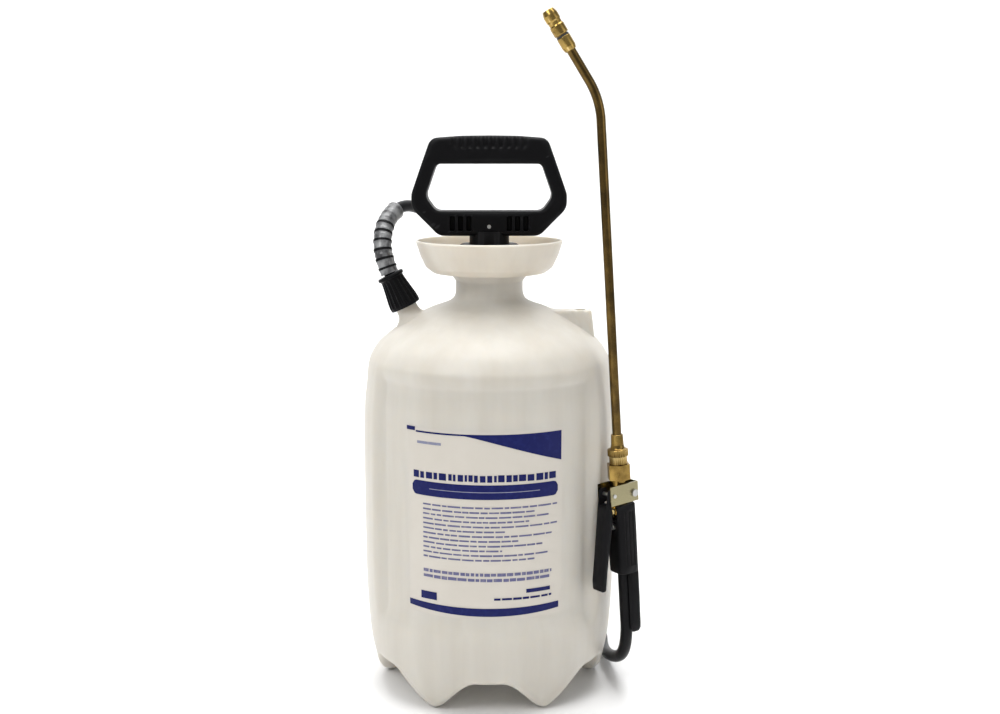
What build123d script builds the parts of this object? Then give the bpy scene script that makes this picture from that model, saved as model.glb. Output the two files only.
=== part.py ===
from build123d import *
import math
import os

# Pump sprayer: a blow-moulded tank with a funnel top, a hand pump in its neck,
# and a hose that feeds a squeeze valve and a bent brass wand.
# Millimetres, +Z up. The origin is on the tank's axis, on the floor under its feet.
# -Y is the side with the label, +X is the side where the wand stands.

os.makedirs("parts", exist_ok=True)

# ---- driving dimensions ----
WALL = 3.0                 # tank wall
PANEL_R = 93.5             # waist of the tank, between shoulder and base
FLANK_R = 100.0            # bulged left and right flanks
FLANK_LOW, FLANK_HIGH = 72.0, 234.0
RIM_Z, RIM_R = 355.0, 57.5  # lip of the filling funnel
SEAT_Z = 332.0             # where the pump's gasket sits
NECK_BORE_R = 23.2
FEET = 6
FOOT_R = 79.0              # circle through the feet
ARCH_TOP = 26.0            # height of the arches between the feet
ARCH_FLAT = 25.0           # width of an arch's flat top

BARREL_R, BARREL_BORE_R = 19.0, 17.0
BARREL_FOOT_Z = 95.0
GASKET_T = 2.0
FLANGE_T = 4.0
CAP_Z = SEAT_Z + GASKET_T + FLANGE_T   # 338, underside of the pump's cap
ROD_R, ROD_END_R = 5.0, 4.0
ROD_TOP_Z, ROD_FOOT_Z = 372.0, 101.0
CUP_Z = 104.0              # lower lip of the piston cup
RUNNING = 0.05             # radial clearance of a running fit

HANDLE_LOW, HANDLE_TOP = 358.4, 435.5
HANDLE_T = 26.0            # handle thickness, front to back
HUB_R = 15.5
LUG_Z, LUG_T, LUG_W, LUG_R = 346.9, 2.2, 8.0, 19.0

HOSE_R = 4.75
GUARD_R = 7.4

OUTLET = Location((-61.5, 0, 293.7), (0, -26, 0))   # tilted stub on the left shoulder
STUB_R, STUB_TOP = 8.5, 24.0

WAND_FOOT = (97.6, -51, 208)
LEAN = 3.7                 # the wand leans this many degrees towards the tank
TWIST = 35                 # the lever faces this far round to the front
WAND = Location(WAND_FOOT, (0, -LEAN, 0))
VALVE = Location(WAND_FOOT, (0, -LEAN, 0)) * Location((0, 0, 0), (0, 0, TWIST))
TUBE_R, TUBE_BORE_R = 3.5, 2.7
BEND_Z, BEND_ANGLE, BEND_R = 253.5, 27.9, 62.0
UPPER_RUN = 49.8           # from the bend's corner to the nozzle
PIVOT = (-12.0, -42.0)     # lever pin, in the valve's own X and Z
STEM_Z = -56.0
SPRING_Z = -68.0


def finish(block, label):
    """Label a finished piece and write its STEP file."""
    block.part.label = label
    export_step(block.part, f"parts/{label}.step")


def ring(plane, outer, inner, height):
    """A plain tube or washer standing on a plane."""
    with BuildPart() as piece:
        with BuildSketch(plane):
            Circle(outer)
            Circle(inner, mode=Mode.SUBTRACT)
        extrude(amount=height)
    return piece


def on(place, z=0.0, x=0.0, y=0.0):
    """The plane square to a tilted frame's own Z, at a point of that frame."""
    return Plane(place * Location((x, y, z)))


def across(place, x=0.0, z=0.0, y=0.0):
    """The plane in a tilted frame whose normal is that frame's own X."""
    return Plane(place * Location((x, y, z), (0, 90, 0)))


def side(place, x=0.0, z=0.0, y=0.0):
    """The plane in a tilted frame whose sketch axes are the frame's X and Z."""
    return Plane(place * Location((x, y, z), (90, 0, 0)))


def local_x(place, point):
    """A point's X in a tilted frame."""
    return (place.inverse() * Location(point)).position.X


# ---- tank: one hollow blow-moulded piece with funnel, neck, outlet stub and wand lug ----
def tank_outline(radii_and_heights, bends):
    """Draw a half outline from its axis: straight between points, arcs where a bend names a midpoint."""
    for number, (here, there) in enumerate(zip(radii_and_heights, radii_and_heights[1:])):
        if number in bends:
            ThreePointArc(here, bends[number], there)
        else:
            Line(here, there)


outside = [
    (0, 0), (82, 0), (94, 25), (98, 62), (PANEL_R, 70), (PANEL_R, 246), (96, 252), (95.5, 256),
    (78, 283), (31, 307), (26, 314), (26, 323), (30, 328.6), (44, 330), (49.7, 334), (RIM_R, RIM_Z),
    (RIM_R - WALL, RIM_Z), (46.8, 335.2), (43, 333), (31, SEAT_Z), (0, SEAT_Z), (0, 0),
]
outside_bends = {1: (89.5, 10.5), 2: (97, 42), 7: (90, 272), 8: (56, 297.5), 9: (27.3, 309.5)}
inside = [
    (0, 29), (90.5, 29), (95, 62), (PANEL_R - WALL, 70), (PANEL_R - WALL, 247), (93, 253),
    (92.5, 256), (76, 280), (29.5, 304), (NECK_BORE_R, 312), (NECK_BORE_R, SEAT_Z + 1), (0, SEAT_Z + 1), (0, 29),
]
inside_bends = {1: (94, 42), 6: (87.6, 270), 7: (54.8, 294.4)}
feet_angles = [number * 360 / FEET for number in range(FEET)]

with BuildPart() as tank:
    with BuildSketch(Plane.XZ):
        with BuildLine():
            tank_outline(outside, outside_bends)
        make_face()
    revolve(axis=Axis.Z)
    # the flanks bulge past the waist on the left and right
    with BuildSketch(Plane.XY.offset(FLANK_LOW)):
        Circle(FLANK_R)
        Rectangle(2 * FLANK_R, 92, mode=Mode.INTERSECT)
        Circle(PANEL_R - WALL + 1, mode=Mode.SUBTRACT)
    extrude(amount=FLANK_HIGH - FLANK_LOW)
    # wand lug on the right shoulder
    with BuildSketch(Plane.XY.offset(280)):
        with Locations((62, 0)):
            RectangleRounded(38, 18, 4)
    extrude(amount=20)
    # outlet stub
    with BuildSketch(on(OUTLET, -2)):
        Circle(STUB_R)
    extrude(amount=STUB_TOP + 2)
    # the inside
    with BuildSketch(Plane.XZ):
        with BuildLine():
            tank_outline(inside, inside_bends)
        make_face()
    revolve(axis=Axis.Z, mode=Mode.SUBTRACT)
    with BuildSketch(Plane.XY.offset(FLANK_LOW + WALL)):
        Circle(FLANK_R - WALL)
        Rectangle(2 * FLANK_R, 92 - 2 * WALL, mode=Mode.INTERSECT)
    extrude(amount=FLANK_HIGH - FLANK_LOW - 2 * WALL, mode=Mode.SUBTRACT)
    with BuildSketch(on(OUTLET, -12)):
        Circle(4.3)
    extrude(amount=STUB_TOP + 20, mode=Mode.SUBTRACT)
    with BuildSketch(Plane.XY.offset(290)):
        with Locations((72, 0)):
            Circle(4.2)
    extrude(amount=20, mode=Mode.SUBTRACT)
    # domed underside, and the arches that leave six feet
    with BuildSketch(Plane.XZ):
        with BuildLine():
            Line((0, -1), (0, 24))
            ThreePointArc((0, 24), (45, 14), (68, -1))
            Line((68, -1), (0, -1))
        make_face()
    revolve(axis=Axis.Z, mode=Mode.SUBTRACT)
    for angle in feet_angles:
        between = math.radians(angle + 180 / FEET)
        outward, sideways = (math.cos(between), math.sin(between), 0), (-math.sin(between), math.cos(between), 0)
        with BuildSketch(Plane(origin=(0, 0, 0), x_dir=sideways, z_dir=outward)):
            Polygon(
                (-ARCH_FLAT / 2 - ARCH_TOP - 1, -1), (ARCH_FLAT / 2 + ARCH_TOP + 1, -1),
                (ARCH_FLAT / 2, ARCH_TOP), (-ARCH_FLAT / 2, ARCH_TOP), align=None,
            )
        extrude(amount=120, mode=Mode.SUBTRACT)
    # each foot is hollow
    for angle in feet_angles:
        foot = Location((0, 0, 0), (0, 0, angle))
        with BuildSketch(Plane(foot * Location((74, 0, 29.5)))):
            Rectangle(26, 46)
        with BuildSketch(Plane(foot * Location((77, 0, 5)))):
            Rectangle(6, 4)
        loft(mode=Mode.SUBTRACT)
finish(tank, "tank")

# ---- label: a thin printed film wrapped on the front ----
with BuildPart() as label:
    with BuildSketch(Plane.XY.offset(79)):
        Circle(PANEL_R + 0.25)
        Circle(PANEL_R, mode=Mode.SUBTRACT)
        with Locations((-2.5, -80)):
            Rectangle(115, 100, mode=Mode.INTERSECT)
    extrude(amount=143)
finish(label, "label")

# ---- outlet: dip tube, strainer, gasket, hose tail and nut ----
dip_start = (OUTLET * Location((0, 0, 23))).position
dip_turn = (OUTLET * Location((0, 0, -34))).position
with BuildPart() as dip_tube:
    with BuildLine() as dip_path:
        FilletPolyline(dip_start, dip_turn, (-50, 0, 140), (-62, 0, 40), radius=[30, 200])
    with BuildSketch(Plane(origin=dip_path.line @ 0, z_dir=dip_path.line % 0)):
        Circle(4.0)
        Circle(2.6, mode=Mode.SUBTRACT)
    sweep()
finish(dip_tube, "dip_tube")

DIP_END = Location((-62, 0, 40), (0, math.degrees(math.atan2(12, 100)), 0))
with BuildPart() as dip_tube_strainer:
    with BuildSketch(on(DIP_END, -8)):
        Circle(6.5)
    extrude(amount=16)
    with BuildSketch(on(DIP_END, 0)):
        Circle(4.0)
    extrude(amount=10, mode=Mode.SUBTRACT)
    with BuildSketch(on(DIP_END, -6.5)):
        Circle(5.0)
    extrude(amount=6.5, mode=Mode.SUBTRACT)
    for angle in (0, 45, 90, 135):
        with BuildSketch(Plane(DIP_END * Location((0, 0, -3.5), (0, 0, angle)) * Location((0, 0, 0), (90, 0, 0)))):
            Rectangle(1.6, 3.4)
        extrude(amount=8, both=True, mode=Mode.SUBTRACT)
finish(dip_tube_strainer, "dip_tube_strainer")

outlet_gasket = ring(on(OUTLET, STUB_TOP), STUB_R - 0.3, 4.2, 1.5)
finish(outlet_gasket, "outlet_gasket")

HOSE_START = 28.0          # the hose begins at this height on the outlet's axis
BARB_R, BARB_LENGTH = 2.6, 9.0
with BuildPart() as hose_tail:
    with BuildSketch(on(OUTLET, STUB_TOP + 1.5)):
        Circle(7.5)
    extrude(amount=HOSE_START - STUB_TOP - 1.5)
    with BuildSketch(on(OUTLET, 12)):
        Circle(2.6)
    extrude(amount=STUB_TOP - 10)
    with BuildSketch(on(OUTLET, HOSE_START)):
        Circle(BARB_R)
    extrude(amount=BARB_LENGTH)
    with BuildSketch(on(OUTLET, 10)):
        Circle(1.6)
    extrude(amount=40, mode=Mode.SUBTRACT)
finish(hose_tail, "hose_tail")

NUT_LOW, NUT_TOP = 10.0, 38.0
NUT_RIBS = 16
with BuildPart() as hose_nut:
    with BuildSketch(side(OUTLET)):
        with BuildLine():
            Polyline(
                (8.8, NUT_LOW), (12.0, NUT_LOW), (12.2, NUT_LOW + 5), (9.2, NUT_TOP - 4),
                (10.5, NUT_TOP - 2.5), (10.5, NUT_TOP), (5.0, NUT_TOP), (5.0, HOSE_START + 0.1),
                (8.8, HOSE_START + 0.1), close=True,
            )
        make_face()
    revolve(axis=Axis((OUTLET).position, (OUTLET * Location((0, 0, 1))).position - OUTLET.position))
    for number in range(NUT_RIBS):
        turn = Location((0, 0, 0), (0, 0, number * 360 / NUT_RIBS))
        with BuildSketch(Plane(OUTLET * turn * Location((12.9, 0, NUT_LOW + 6), (0, -7.2, 0)))):
            Circle(1.3)
        extrude(amount=NUT_TOP - NUT_LOW - 11, mode=Mode.SUBTRACT)
finish(hose_nut, "hose_nut")

# ---- hose: from the nut, over the shoulder, down the back, round on the floor to the grip ----
hose_start = (OUTLET * Location((0, 0, HOSE_START))).position
hose_first = (OUTLET * Location((0, 0, HOSE_START + 19.5))).position
HOSE_END_Z, HOSE_TURN_Z = -92.0, -156.0    # on the wand's own axis: up inside the grip, and just below it
hose_last = (WAND * Location((0, 0, HOSE_TURN_Z))).position
hose_end = (WAND * Location((0, 0, HOSE_END_Z))).position
FLOOR_Z = HOSE_R
hose_route = [
    hose_start, hose_first, (-85, 7, 358), (-79.5, 21.5, 374), (-68.5, 40, 381), (-54.5, 64, 375.5),
    (-25, 83.5, 353.5), (-14, 100, 330), (-9, 112, 275), (-7, 120, 205), (-6, 130, 135), (-6, 139, 86),
    (-3, 148, 48), (9, 155, 18), (38, 155, FLOOR_Z), (68, 137, FLOOR_Z), (90, 107, FLOOR_Z),
    (98.5, 70, FLOOR_Z), (96, 36, FLOOR_Z), (98.5, 4, 10.5), (104, -23, 20), (107, -41, 33), hose_last, hose_end,
]


def route_radii(points):
    """Each corner's arc: 0.45 of its shorter run over the tangent of half its turn."""
    points = [Vector(*point) for point in points]
    runs = [there - here for here, there in zip(points, points[1:])]
    return [
        0.45 * min(before.length, after.length) / math.tan(math.radians(before.get_angle(after) / 2))
        for before, after in zip(runs, runs[1:])
    ]


hose_radii = route_radii(hose_route)
print("hose radii", [round(radius) for radius in hose_radii])
with BuildPart() as hose:
    with BuildLine() as hose_path:
        FilletPolyline(*hose_route, radius=hose_radii)
    with BuildSketch(Plane(origin=hose_path.line @ 0, z_dir=hose_path.line % 0)):
        Circle(HOSE_R)
    sweep()
    hose_length = hose_path.wires()[0].length
    print("hose length", round(hose_length, 1), "volume over section times length",
          round(hose.part.volume / (math.pi * HOSE_R ** 2 * hose_length), 4))
    # bored at both ends for the barbs
    with BuildSketch(on(OUTLET, HOSE_START)):
        Circle(BARB_R)
    extrude(amount=BARB_LENGTH, mode=Mode.SUBTRACT)
    with BuildSketch(on(WAND, HOSE_END_Z)):
        Circle(BARB_R)
    extrude(amount=-BARB_LENGTH, mode=Mode.SUBTRACT)
finish(hose, "hose")

# the bend guard is a sleeve on the hose's first stretch
guard_start = (OUTLET * Location((0, 0, NUT_TOP + 0.2))).position
guard_end = Vector(*hose_route[3]) + (Vector(*hose_route[4]) - Vector(*hose_route[3])) * 0.5
with BuildPart() as hose_guard:
    with BuildLine() as guard_path:
        FilletPolyline(guard_start, *hose_route[1:4], guard_end, radius=hose_radii[0:3])
    with BuildSketch(Plane(origin=guard_path.line @ 0, z_dir=guard_path.line % 0)):
        Circle(GUARD_R)
        Circle(HOSE_R, mode=Mode.SUBTRACT)
    sweep()
finish(hose_guard, "hose_guard")

# ---- pump: barrel, check valve, gasket, cap and bushing ----
with BuildPart() as pump_barrel:
    with BuildSketch(Plane.XY.offset(BARREL_FOOT_Z)):
        Circle(BARREL_R)
    extrude(amount=CAP_Z - BARREL_FOOT_Z)
    with BuildSketch(Plane.XY.offset(305)):
        Circle(21.2)
    extrude(amount=CAP_Z - 305)
    with BuildSketch(Plane.XY.offset(SEAT_Z + GASKET_T)):
        Circle(29)
    extrude(amount=FLANGE_T)
    # coarse thread that screws into the neck
    with BuildLine() as thread:
        Helix(pitch=5, height=12, radius=21.15, center=(0, 0, 309))
    with BuildSketch(Plane(origin=thread.line @ 0, z_dir=thread.line % 0, x_dir=(1, 0, 0))) as thread_form:
        Polygon((-0.6, 0), (0, -1.6), (1.5, -0.6), (1.5, 0.6), (0, 1.6), align=None)
    sweep(thread_form.sketch, path=thread.line, is_frenet=True)
    with BuildSketch(Plane.XY.offset(BARREL_FOOT_Z + 3)):
        Circle(BARREL_BORE_R)
    extrude(amount=CAP_Z - BARREL_FOOT_Z, mode=Mode.SUBTRACT)
    with BuildSketch(Plane.XY.offset(BARREL_FOOT_Z)):
        Circle(1.6)
        with PolarLocations(7, 6):
            Circle(1.8)
    extrude(amount=3, mode=Mode.SUBTRACT)
finish(pump_barrel, "pump_barrel")

with BuildPart() as check_valve:
    with BuildSketch(Plane.XZ):
        with BuildLine():
            Polyline(
                (0, 93), (10, 94), (10, BARREL_FOOT_Z), (1.6, BARREL_FOOT_Z), (1.6, BARREL_FOOT_Z + 3),
                (2.6, BARREL_FOOT_Z + 3), (0, BARREL_FOOT_Z + 5.4), close=True,
            )
        make_face()
    revolve(axis=Axis.Z)
finish(check_valve, "check_valve")

barrel_gasket = ring(Plane.XY.offset(SEAT_Z), 29, 23.6, GASKET_T)
finish(barrel_gasket, "barrel_gasket")

BUSHING_R, BUSHING_T = 10.0, 7.5
with BuildPart() as pump_cap:
    with BuildSketch(Plane.XY.offset(CAP_Z)):
        Circle(27)
        with PolarLocations(27, 12):
            Circle(1.6, mode=Mode.SUBTRACT)
    extrude(amount=8)
    with BuildSketch(Plane.XY.offset(CAP_Z)):
        Circle(23)
    extrude(amount=14)
    chamfer(pump_cap.faces().sort_by(Axis.Z)[-1].edges(), 1)
    with BuildSketch(Plane.XY.offset(CAP_Z)):
        Circle(BUSHING_R)
    extrude(amount=20, mode=Mode.SUBTRACT)
    # room for the handle's hub, with a lip that its two lugs turn under
    with BuildSketch(Plane.XY.offset(CAP_Z + 8)):
        Circle(LUG_R + 0.6)
    extrude(amount=3.6, mode=Mode.SUBTRACT)
    with BuildSketch(Plane.XY.offset(CAP_Z + 8)):
        Circle(HUB_R + 0.6)
        Rectangle(LUG_W + 1.6, 2 * LUG_R + 1.2)
    extrude(amount=8, mode=Mode.SUBTRACT)
finish(pump_cap, "pump_cap")

rod_bushing = ring(Plane.XY.offset(CAP_Z), BUSHING_R, ROD_R + RUNNING, BUSHING_T)
finish(rod_bushing, "rod_bushing")

# ---- piston: cup seal and backing washer, which ride between the rod's shoulder and its nut ----
with BuildPart() as piston_cup:
    with BuildSketch(Plane.XZ):
        with BuildLine():
            Polyline(
                (ROD_END_R + RUNNING, CUP_Z + 6), (14.2, CUP_Z + 6), (14.9, CUP_Z),
                (BARREL_BORE_R - RUNNING, CUP_Z), (BARREL_BORE_R - RUNNING, CUP_Z + 8),
                (ROD_END_R + RUNNING, CUP_Z + 8), close=True,
            )
        make_face()
    revolve(axis=Axis.Z)
finish(piston_cup, "piston_cup")

piston_washer = ring(Plane.XY.offset(CUP_Z + 8), 14, ROD_END_R + RUNNING, 3)
finish(piston_washer, "piston_washer")

# ---- plunger: rod, nut, handle and cross pin ----
PIN_Z = 366.0
with BuildPart() as pump_rod:
    with BuildSketch(Plane.XY.offset(CUP_Z + 11.3)):
        Circle(ROD_R)
    extrude(amount=ROD_TOP_Z - CUP_Z - 11.3)
    with BuildSketch(Plane.XY.offset(ROD_FOOT_Z)):
        Circle(ROD_END_R)
    extrude(amount=CUP_Z + 12 - ROD_FOOT_Z)
    chamfer(pump_rod.faces().sort_by(Axis.Z)[0].edges(), 0.6)
    with BuildSketch(Plane.XZ.offset(-20)):
        with Locations((0, PIN_Z)):
            Circle(1.5)
    extrude(amount=40, mode=Mode.SUBTRACT)
finish(pump_rod, "pump_rod")

with BuildPart() as piston_nut:
    with BuildSketch(Plane.XY.offset(102.2)):
        RegularPolygon(6.5, 6, major_radius=False)
        Circle(ROD_END_R, mode=Mode.SUBTRACT)
    extrude(amount=7.4)
finish(piston_nut, "piston_nut")

with BuildPart() as pump_handle:
    with BuildSketch(Plane.XZ.offset(-HANDLE_T / 2)):
        with BuildLine():
            FilletPolyline(
                (0, HANDLE_TOP), (-45, HANDLE_TOP - 2), (-60, 391), (-60, 380), (-39, HANDLE_LOW), (39, HANDLE_LOW),
                (60, 380), (60, 391), (45, HANDLE_TOP - 2), radius=[0, 8, 12, 10, 10, 10, 10, 12, 8], close=True,
            )
        make_face()
        with BuildLine():
            FilletPolyline(
                (-40.5, 413.8), (-49, 388), (-40, 378), (40, 378), (49, 388), (40.5, 413.8), radius=5, close=True,
            )
        make_face(mode=Mode.SUBTRACT)
    extrude(amount=HANDLE_T)
    rims = pump_handle.faces().filter_by(Axis.Y).edges()
    fillet(rims, 4)
    with BuildSketch(Plane.XY.offset(CAP_Z + 8.4)):
        Circle(HUB_R)
    extrude(amount=HANDLE_LOW + 2 - CAP_Z - 8.4)
    with BuildSketch(Plane.XY.offset(LUG_Z)):
        Rectangle(LUG_W, 2 * LUG_R)
    extrude(amount=LUG_T)
    with BuildSketch(Plane.XY.offset(CAP_Z)):
        Circle(ROD_R)
    extrude(amount=ROD_TOP_Z - CAP_Z, mode=Mode.SUBTRACT)
    with BuildSketch(Plane.XZ.offset(-20)):
        with Locations((0, PIN_Z)):
            Circle(1.5)
    extrude(amount=40, mode=Mode.SUBTRACT)
finish(pump_handle, "pump_handle")

with BuildPart() as handle_pin:
    with BuildSketch(Plane.XZ.offset(-HANDLE_T / 2)):
        with Locations((0, PIN_Z)):
            Circle(1.5)
    extrude(amount=HANDLE_T)
finish(handle_pin, "handle_pin")

# ---- shut-off valve, in the valve's own frame: Z up the wand, -X towards the lever ----
BODY_R = 6.0
with BuildPart() as valve_body:
    with BuildSketch(on(VALVE, -76)):
        Circle(BODY_R)
    extrude(amount=61)
    with BuildSketch(on(VALVE, -32)):
        RegularPolygon(8, 6, major_radius=False)
    extrude(amount=12)
    with BuildSketch(on(VALVE, -20)):
        Circle(7)
    extrude(amount=6)
    with BuildSketch(across(VALVE, -8.2, STEM_Z)):
        Circle(4.6)
    extrude(amount=8)
    # flow passage, socket for the wand's seal, stem bore and barb bore
    with BuildSketch(on(VALVE, -80)):
        Circle(2)
    extrude(amount=80, mode=Mode.SUBTRACT)
    with BuildSketch(on(VALVE, -23)):
        Circle(TUBE_R + 1.4)
    extrude(amount=20, mode=Mode.SUBTRACT)
    with BuildSketch(across(VALVE, -9, STEM_Z)):
        Circle(2.5)
    extrude(amount=12.5, mode=Mode.SUBTRACT)
finish(valve_body, "valve_body")

YOKE_Y, YOKE_T = 7.2, 1.0
with BuildPart() as valve_yoke:
    with BuildSketch(on(VALVE, -49.5)):
        with Locations((-2, 0)):
            Rectangle(27, 2 * (YOKE_Y + YOKE_T))
            Rectangle(27, 2 * YOKE_Y, mode=Mode.SUBTRACT)
        with Locations((11, 0)):
            Rectangle(YOKE_T, 2 * YOKE_Y)
    extrude(amount=15)
    with BuildSketch(side(VALVE, PIVOT[0], PIVOT[1], 20)):
        Circle(1.5)
        with Locations((19.5, -1)):
            Circle(1.5)
    extrude(amount=40, mode=Mode.SUBTRACT)
finish(valve_yoke, "valve_yoke")

packing_nut = ring(across(VALVE, -11.4, STEM_Z), 4.2, 2.0 + RUNNING, 3.2)
finish(packing_nut, "packing_nut")

with BuildPart() as lever_pin:
    with BuildSketch(side(VALVE, PIVOT[0], PIVOT[1], YOKE_Y + YOKE_T + 0.6)):
        Circle(1.5)
    extrude(amount=2 * (YOKE_Y + YOKE_T + 0.6))
finish(lever_pin, "lever_pin")

with BuildPart() as grip_screw:
    with BuildSketch(side(VALVE, 7.5, PIVOT[1] - 1, YOKE_Y + YOKE_T)):
        Circle(1.5)
    extrude(amount=2 * (YOKE_Y + YOKE_T))
    with BuildSketch(side(VALVE, 7.5, PIVOT[1] - 1, -YOKE_Y - YOKE_T)):
        Circle(2.8)
    extrude(amount=1.6)
finish(grip_screw, "grip_screw")

with BuildPart() as valve_stem:
    with BuildSketch(across(VALVE, -12.3, STEM_Z)):
        Circle(2.0)
    extrude(amount=4.2)
    with BuildSketch(across(VALVE, -8.1, STEM_Z)):
        Circle(2.5 - RUNNING)
    extrude(amount=7)
    with BuildSketch(across(VALVE, -4.9, STEM_Z)):
        Circle(3)
        Circle(1.5, mode=Mode.SUBTRACT)
    extrude(amount=1.4, mode=Mode.SUBTRACT)
finish(valve_stem, "valve_stem")

stem_oring = ring(across(VALVE, -4.8, STEM_Z), 2.5 - RUNNING, 1.5, 1.2)
finish(stem_oring, "stem_oring")

# grip: a round handle around the valve, whose back runs on down as a channel for the hose
GRIP_TOP, GRIP_FRONT_LOW, GRIP_LOW = -51.0, -105.6, -155.0
GRIP_BACK, GRIP_FRONT, GRIP_HALF = 9.6, -8.8, 9.4
with BuildPart() as grip:
    with BuildSketch(on(VALVE, GRIP_FRONT_LOW)):
        with Locations(((GRIP_BACK + GRIP_FRONT) / 2, 0)):
            RectangleRounded(GRIP_BACK - GRIP_FRONT, 2 * GRIP_HALF, 6)
    extrude(amount=GRIP_TOP - GRIP_FRONT_LOW)
    with BuildSketch(on(VALVE, GRIP_LOW)):
        with Locations((GRIP_BACK / 2 - 0.4, 0)):
            RectangleRounded(GRIP_BACK + 0.8, 2 * GRIP_HALF - 2.4, 4)
    extrude(amount=GRIP_FRONT_LOW - GRIP_LOW)
    fillet(grip.faces().sort_by(Axis.Z)[0].edges().filter_by(lambda edge: edge.length > 5), 2.5)
    with BuildSketch(on(VALVE, GRIP_LOW - 5)):
        Circle(BODY_R + 0.1)
        with Locations((-6, 0)):
            Rectangle(12, 2 * BODY_R + 0.2)
    extrude(amount=GRIP_FRONT_LOW - GRIP_LOW + 5, mode=Mode.SUBTRACT)
    with BuildSketch(on(VALVE, GRIP_LOW - 5)):
        Circle(BODY_R + 0.1)
    extrude(amount=GRIP_TOP - GRIP_LOW + 10, mode=Mode.SUBTRACT)
    # window for the packing nut
    with BuildSketch(across(VALVE, -12, STEM_Z)):
        Rectangle(12, 10.4)
    extrude(amount=9, mode=Mode.SUBTRACT)
    # hole for the lever's spring
    with BuildSketch(across(VALVE, -12, SPRING_Z)):
        Circle(3.4)
    extrude(amount=9, mode=Mode.SUBTRACT)
    # ears that the yoke's screw holds
    with BuildSketch(on(VALVE, GRIP_TOP - 2)):
        with Locations((8.3, 0)):
            Rectangle(4.2, 2 * YOKE_Y)
        Circle(BODY_R + 0.1, mode=Mode.SUBTRACT)
    extrude(amount=14)
    with BuildSketch(side(VALVE, 7.5, PIVOT[1] - 1, 20)):
        Circle(1.5)
    extrude(amount=40, mode=Mode.SUBTRACT)
finish(grip, "grip")

with BuildPart() as hose_barb:
    with BuildSketch(on(VALVE, HOSE_END_Z)):
        Circle(5.4)
    extrude(amount=-76 - HOSE_END_Z)
    with BuildSketch(on(VALVE, HOSE_END_Z - BARB_LENGTH)):
        Circle(BARB_R - 0.02)
    extrude(amount=BARB_LENGTH)
    with BuildSketch(on(VALVE, HOSE_END_Z - BARB_LENGTH - 1)):
        Circle(1.6)
    extrude(amount=-75 - HOSE_END_Z + BARB_LENGTH, mode=Mode.SUBTRACT)
finish(hose_barb, "hose_barb")

hose_ferrule = ring(on(VALVE, HOSE_END_Z - 12), 5.8, HOSE_R + 0.25, 12)
finish(hose_ferrule, "hose_ferrule")

# lever: two ears on the pin and a bar that leans away from the grip
with BuildPart() as lever:
    with BuildSketch(side(VALVE, 0, 0, 6.6)):
        with BuildLine():
            FilletPolyline(
                (-8.5, -38), (-15.5, -37), (-18.4, -52), (-24.3, -90), (-27.3, -108), (-27.2, -115.6),
                (-22.8, -115.6), (-20.4, -100), (-12.6, -62), (-12.6, -50), (-8.5, -45.5),
                radius=[3, 3, 8, 30, 15, 1.9, 1.9, 25, 5, 2, 1.5], close=True,
            )
        make_face()
    extrude(amount=13.2)
    long_edges = lever.edges().filter_by(lambda edge: edge.length > 20)
    fillet(long_edges.filter_by(lambda edge: local_x(VALVE, edge.center()) < -16.5), 1.2)
    with BuildSketch(side(VALVE, PIVOT[0], PIVOT[1], 20)):
        Circle(1.5 + RUNNING)
    extrude(amount=40, mode=Mode.SUBTRACT)
    # open between the two ears
    with BuildSketch(on(VALVE, -49.5)):
        with Locations((-14, 0)):
            Rectangle(14, 9)
    extrude(amount=14, mode=Mode.SUBTRACT)
    # pocket that clears the packing nut, round the stud that presses the stem
    with BuildSketch(across(VALVE, -14.6, STEM_Z)):
        Circle(4.9)
        Circle(1.5, mode=Mode.SUBTRACT)
    extrude(amount=4, mode=Mode.SUBTRACT)
finish(lever, "lever")

with BuildPart() as lever_spring:
    with BuildLine() as coil:
        Helix(pitch=1.9, height=6.4, radius=2.4, center=(0, 0, 0))
    with BuildSketch(Plane(origin=coil.line @ 0, z_dir=coil.line % 0)):
        Circle(0.35)
    sweep(is_frenet=True)
lever_spring.part.locate(VALVE * Location((-13.0, 0, SPRING_Z), (0, 90, 0)))
finish(lever_spring, "lever_spring")

# ---- wand: union nut, seal, bent tube and adjustable nozzle ----
NUT_R = 8.0
with BuildPart() as wand_nut:
    with BuildSketch(side(WAND)):
        with BuildLine():
            Polyline(
                (TUBE_R, 3), (4.6, 3), (4.9, -8), (NUT_R, -9), (NUT_R, -13.7), (TUBE_R, -13.7), close=True,
            )
        make_face()
    revolve(axis=Axis(WAND.position, (WAND * Location((0, 0, 1))).position - WAND.position))
finish(wand_nut, "wand_nut")

wand_oring = ring(on(WAND, -21), TUBE_R + 1.3, TUBE_R, 2)
finish(wand_oring, "wand_oring")

with BuildPart() as wand_tube:
    with BuildLine(side(WAND)) as tube_path:
        turn = math.radians(BEND_ANGLE)
        FilletPolyline(
            (0, -22), (0, BEND_Z), (-UPPER_RUN * math.sin(turn), BEND_Z + UPPER_RUN * math.cos(turn)), radius=BEND_R,
        )
    with BuildSketch(on(WAND, -22)):
        Circle(TUBE_R)
        Circle(TUBE_BORE_R, mode=Mode.SUBTRACT)
    sweep(path=tube_path.line)
finish(wand_tube, "wand_tube")

TIP = WAND * Location((0, 0, BEND_Z)) * Location((0, 0, 0), (0, -BEND_ANGLE, 0)) * Location((0, 0, UPPER_RUN))
with BuildPart() as nozzle_stem:
    with BuildSketch(side(TIP)):
        with BuildLine():
            Polyline(
                (TUBE_R, -9), (4.4, -9), (5.2, -6), (5.2, 2), (4.2, 2), (4.2, 16), (1.2, 16), (1.2, 0), (TUBE_R, 0),
                close=True,
            )
        make_face()
    revolve(axis=Axis(TIP.position, (TIP * Location((0, 0, 1))).position - TIP.position))
finish(nozzle_stem, "nozzle_stem")

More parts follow.
